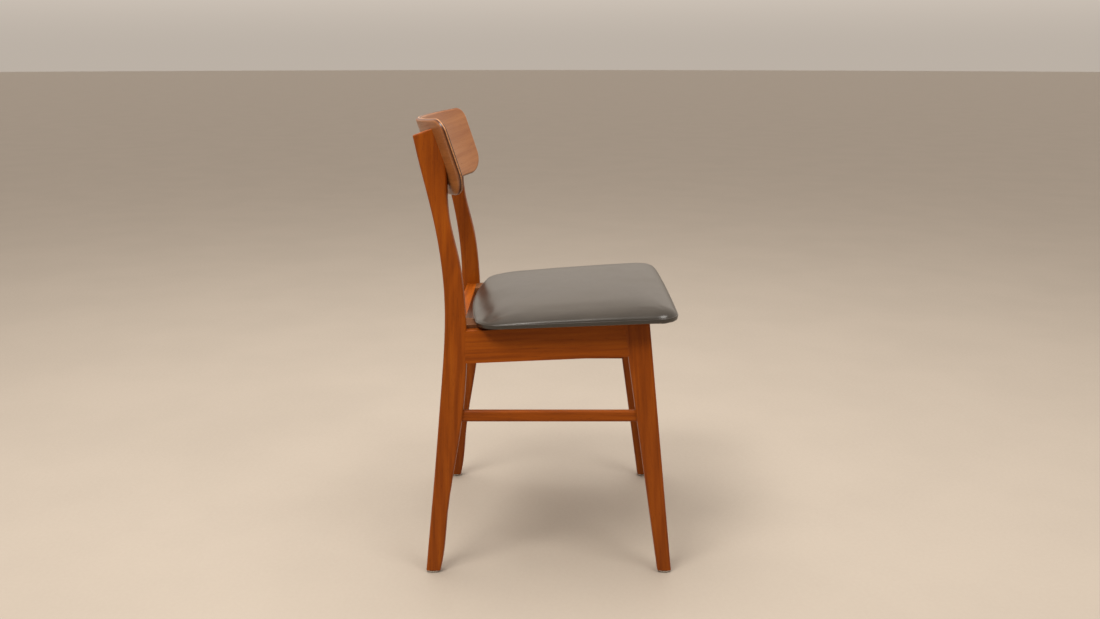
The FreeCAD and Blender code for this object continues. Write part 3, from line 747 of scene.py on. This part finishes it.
def swell(pad):
    """Cloth simulation with air pressure inside, held at the board, with its movement capped."""
    start = [v.co.copy() for v in pad.data.vertices]
    cloth = pad.modifiers.new("cloth", "CLOTH")
    settings = cloth.settings
    settings.quality = CLOTH_QUALITY
    settings.mass = CLOTH_MASS
    settings.tension_stiffness = CLOTH_TENSION
    settings.compression_stiffness = CLOTH_COMPRESSION
    settings.shear_stiffness = CLOTH_SHEAR
    settings.bending_stiffness = CLOTH_BENDING
    settings.use_pressure = True
    settings.uniform_pressure_force = CLOTH_PRESSURE
    settings.vertex_group_mass = "held"
    settings.effector_weights.gravity = 0
    cloth.collision_settings.use_collision = False
    cloth.point_cache.frame_start = 1
    cloth.point_cache.frame_end = CLOTH_FRAMES
    scene = bpy.context.scene
    for step in range(1, CLOTH_FRAMES + 1):
        scene.frame_set(step)
    apply_modifier(pad, cloth)
    scene.frame_set(1)
    for vertex, before in zip(pad.data.vertices, start):
        moved = vertex.co - before
        if moved.length > CLOTH_LIMIT:
            vertex.co = before + moved.normalized() * CLOTH_LIMIT


def subdivide(piece):
    finer = piece.modifiers.new("finer", "SUBSURF")
    finer.levels = 1
    apply_modifier(piece, finer)


def relax_and_refine(pad):
    """Eases the creases, subdivides once, and adds the slight unevenness of hand-cut foam."""
    ease = pad.modifiers.new("ease", "SMOOTH")
    ease.factor = 0.5
    ease.iterations = CREASE_EASING
    ease.vertex_group = "held"
    ease.invert_vertex_group = True
    apply_modifier(pad, ease)
    subdivide(pad)
    for vertex in pad.data.vertices:
        at = vertex.co
        height = at.z - SEAT_PLANE_Z + SEAT_RISE_SLOPE * at.y
        if height > UNEVEN_ABOVE:
            wave = noise.noise(Vector((at.x * UNEVEN_WAVES, at.y * UNEVEN_WAVES, UNEVEN_SEED)))
            vertex.co = at + Vector((0, 0, wave * UNEVEN_DEPTH))


def build_pad(material):
    """The upholstered top, in place of the CAD's foam and cover."""
    pad = pad_start(material)
    swell(pad)
    relax_and_refine(pad)
    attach(pad, "root")
    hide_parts("seat_cover", "seat_foam")


def corner_weight(x, y):
    """1 under the seat's front corners, less under its rear corners, 0 where the frame is."""
    front = clamped((FRAME_FRONT_Y - y) / FRAME_EASE)
    rear = clamped((y - FRAME_REAR_Y) / FRAME_EASE)
    side = clamped((abs(x) - FRAME_SIDE_X) / FRAME_EASE)
    return max(front, rear * PLEAT_REAR_SHARE) * side


def build_rim(material):
    """The vinyl round the board's edge: a narrow ledge, a tight fold and a pleated turn-under."""
    outline, _ = seat_outline()
    normals = inward_normals(outline)
    points, faces = [], []
    for inset, height, pleated in RIM_PROFILE:
        run = 0.0
        for number, (p, inward) in enumerate(zip(outline, normals)):
            run += (p - outline[number - 1]).length
            fold = abs(math.sin(run * PLEAT_WAVES + PLEAT_DRIFT * math.sin(run * PLEAT_DRIFT_WAVES)))
            weight = corner_weight(p.x, p.y) * pleated
            at = p + inward * inset
            if inset > TRIM_FROM:
                wave = noise.noise(Vector((p.x * TRIM_WAVES, p.y * TRIM_WAVES, TRIM_SEED)))
                at = p + inward * (inset + wave * TRIM_DEPTH)
            points.append(on_seat(at.x, at.y, height - PLEAT_DEPTH * weight * fold))
    for first, *others in ring_faces(len(RIM_PROFILE), len(outline)):
        faces.append([*others, first])  # the first corner settles which diagonal the face is cut along
    rim = new_object("seat_cover_edge", points, faces, material)
    subdivide(rim)
    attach(rim, "root")
    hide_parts("seat_cover")


# ---- studio -------------------------------------------------------------------------------------
def build_floor():
    """A plain pale floor with a trace of mottling."""
    n = Nodes("studio_floor")
    mottle = n.noise(n.place(), 3.0, detail=4, roughness=0.6)
    grain = n.noise(n.place(), 140, detail=3, roughness=0.6)
    shade = tuple(channel * 0.96 for channel in FLOOR_COLOUR)
    colour = n.mix(n.ranged(mottle, 0.3, 0.7), FLOOR_COLOUR, shade)
    rough = n.ranged(grain, 0.2, 0.8, 0.55, 0.70)
    material = n.finish(colour, rough, n.bump(grain, strength=0.05, distance=0.0005))
    rings, spokes, reach = 14, 48, 60.0
    points, faces = [Vector((0, 0, 0))], []
    for ring in range(1, rings + 1):
        radius = reach * (ring / rings) ** 3
        for spoke in range(spokes):
            angle = 2 * math.pi * spoke / spokes
            points.append(Vector((radius * math.cos(angle), radius * math.sin(angle), 0)))
    for spoke in range(spokes):
        following = (spoke + 1) % spokes
        faces.append([0, 1 + spoke, 1 + following])
        for ring in range(rings - 1):
            low, high = 1 + ring * spokes, 1 + (ring + 1) * spokes
            faces.append([low + spoke, high + spoke, high + following, low + following])
    floor = new_object("studio_floor", points, faces, material)


def build_world():
    """Soft, warm light from all round: by height a horizon, a pale wall and a ceiling, dimmer on -X."""
    world = bpy.data.worlds.new("studio")
    bpy.context.scene.world = world
    world.use_nodes = True
    tree = world.node_tree
    background = tree.nodes["Background"]
    heading = tree.nodes.new("ShaderNodeTexCoord")
    parts = tree.nodes.new("ShaderNodeSeparateXYZ")
    blend = tree.nodes.new("ShaderNodeValToRGB")
    blend.color_ramp.interpolation = "EASE"
    first, last = blend.color_ramp.elements
    first.position, first.color = HORIZON_HEIGHT, (*HORIZON_COLOUR, 1)
    last.position, last.color = CEILING_HEIGHT, (*CEILING_COLOUR, 1)
    for height in (WALL_LOW, WALL_HIGH):
        blend.color_ramp.elements.new(height).color = (*WALL_COLOUR, 1)
    side = tree.nodes.new("ShaderNodeMapRange")
    side.interpolation_type = "SMOOTHSTEP"
    side.inputs["From Min"].default_value = DIM_X
    side.inputs["From Max"].default_value = BRIGHT_X
    side.inputs["To Min"].default_value = WORLD_STRENGTH * DIM_SHARE
    side.inputs["To Max"].default_value = WORLD_STRENGTH
    tree.links.new(heading.outputs["Generated"], parts.inputs[0])
    tree.links.new(parts.outputs["Z"], blend.inputs["Fac"])
    tree.links.new(parts.outputs["X"], side.inputs["Value"])
    tree.links.new(blend.outputs["Color"], background.inputs["Color"])
    tree.links.new(side.outputs["Result"], background.inputs["Strength"])


def softbox(name, place, towards, size, power, colour, mirrored=True):
    """An area light. One that isn't mirrored lights surfaces but makes no highlight on them."""
    light = bpy.data.lights.new(name, "AREA")
    light.shape = "RECTANGLE"
    light.size, light.size_y = size
    light.energy = power
    light.color = colour
    lamp = bpy.data.objects.new(name, light)
    lamp.location = place
    lamp.rotation_euler = (Vector(towards) - Vector(place)).to_track_quat("-Z", "Y").to_euler()
    lamp.visible_glossy = mirrored
    bpy.context.scene.collection.objects.link(lamp)


def build_lights():
    """Key and fill light on the camera's side, and light from above that leaves no band on the vinyl."""
    softbox("key_light", (-1.4, 1.0, 3.0), (0, 0, 0.5), (1.2, 0.9), 62, (1.0, 0.95, 0.88))
    softbox("fill_light", (-1.4, -1.4, 2.8), (0, 0, 0.4), (1.2, 0.9), 30, (1.0, 0.96, 0.91))
    softbox("top_light", (0.5, 0.2, 3.2), (0, 0, 0.3), (2.2, 2.2), 70, (1.0, 0.97, 0.93), mirrored=False)


def build_camera():
    """Looks along +X, at the chair's right-hand side."""
    camera = bpy.data.cameras.new("camera")
    camera.sensor_width = 36
    camera.lens = CAMERA_LENS
    holder = bpy.data.objects.new("camera", camera)
    holder.location = CAMERA_AT
    holder.rotation_euler = (math.radians(90) - CAMERA_DOWN, 0, math.radians(-90))
    bpy.context.scene.collection.objects.link(holder)
    bpy.context.scene.camera = holder


dress_wood()
dress_rest()
black_vinyl = vinyl()
build_pad(black_vinyl)
build_rim(black_vinyl)
build_floor()
build_world()
build_lights()
build_camera()
bpy.context.scene.view_settings.view_transform = "Standard"
bpy.context.view_layer.update()
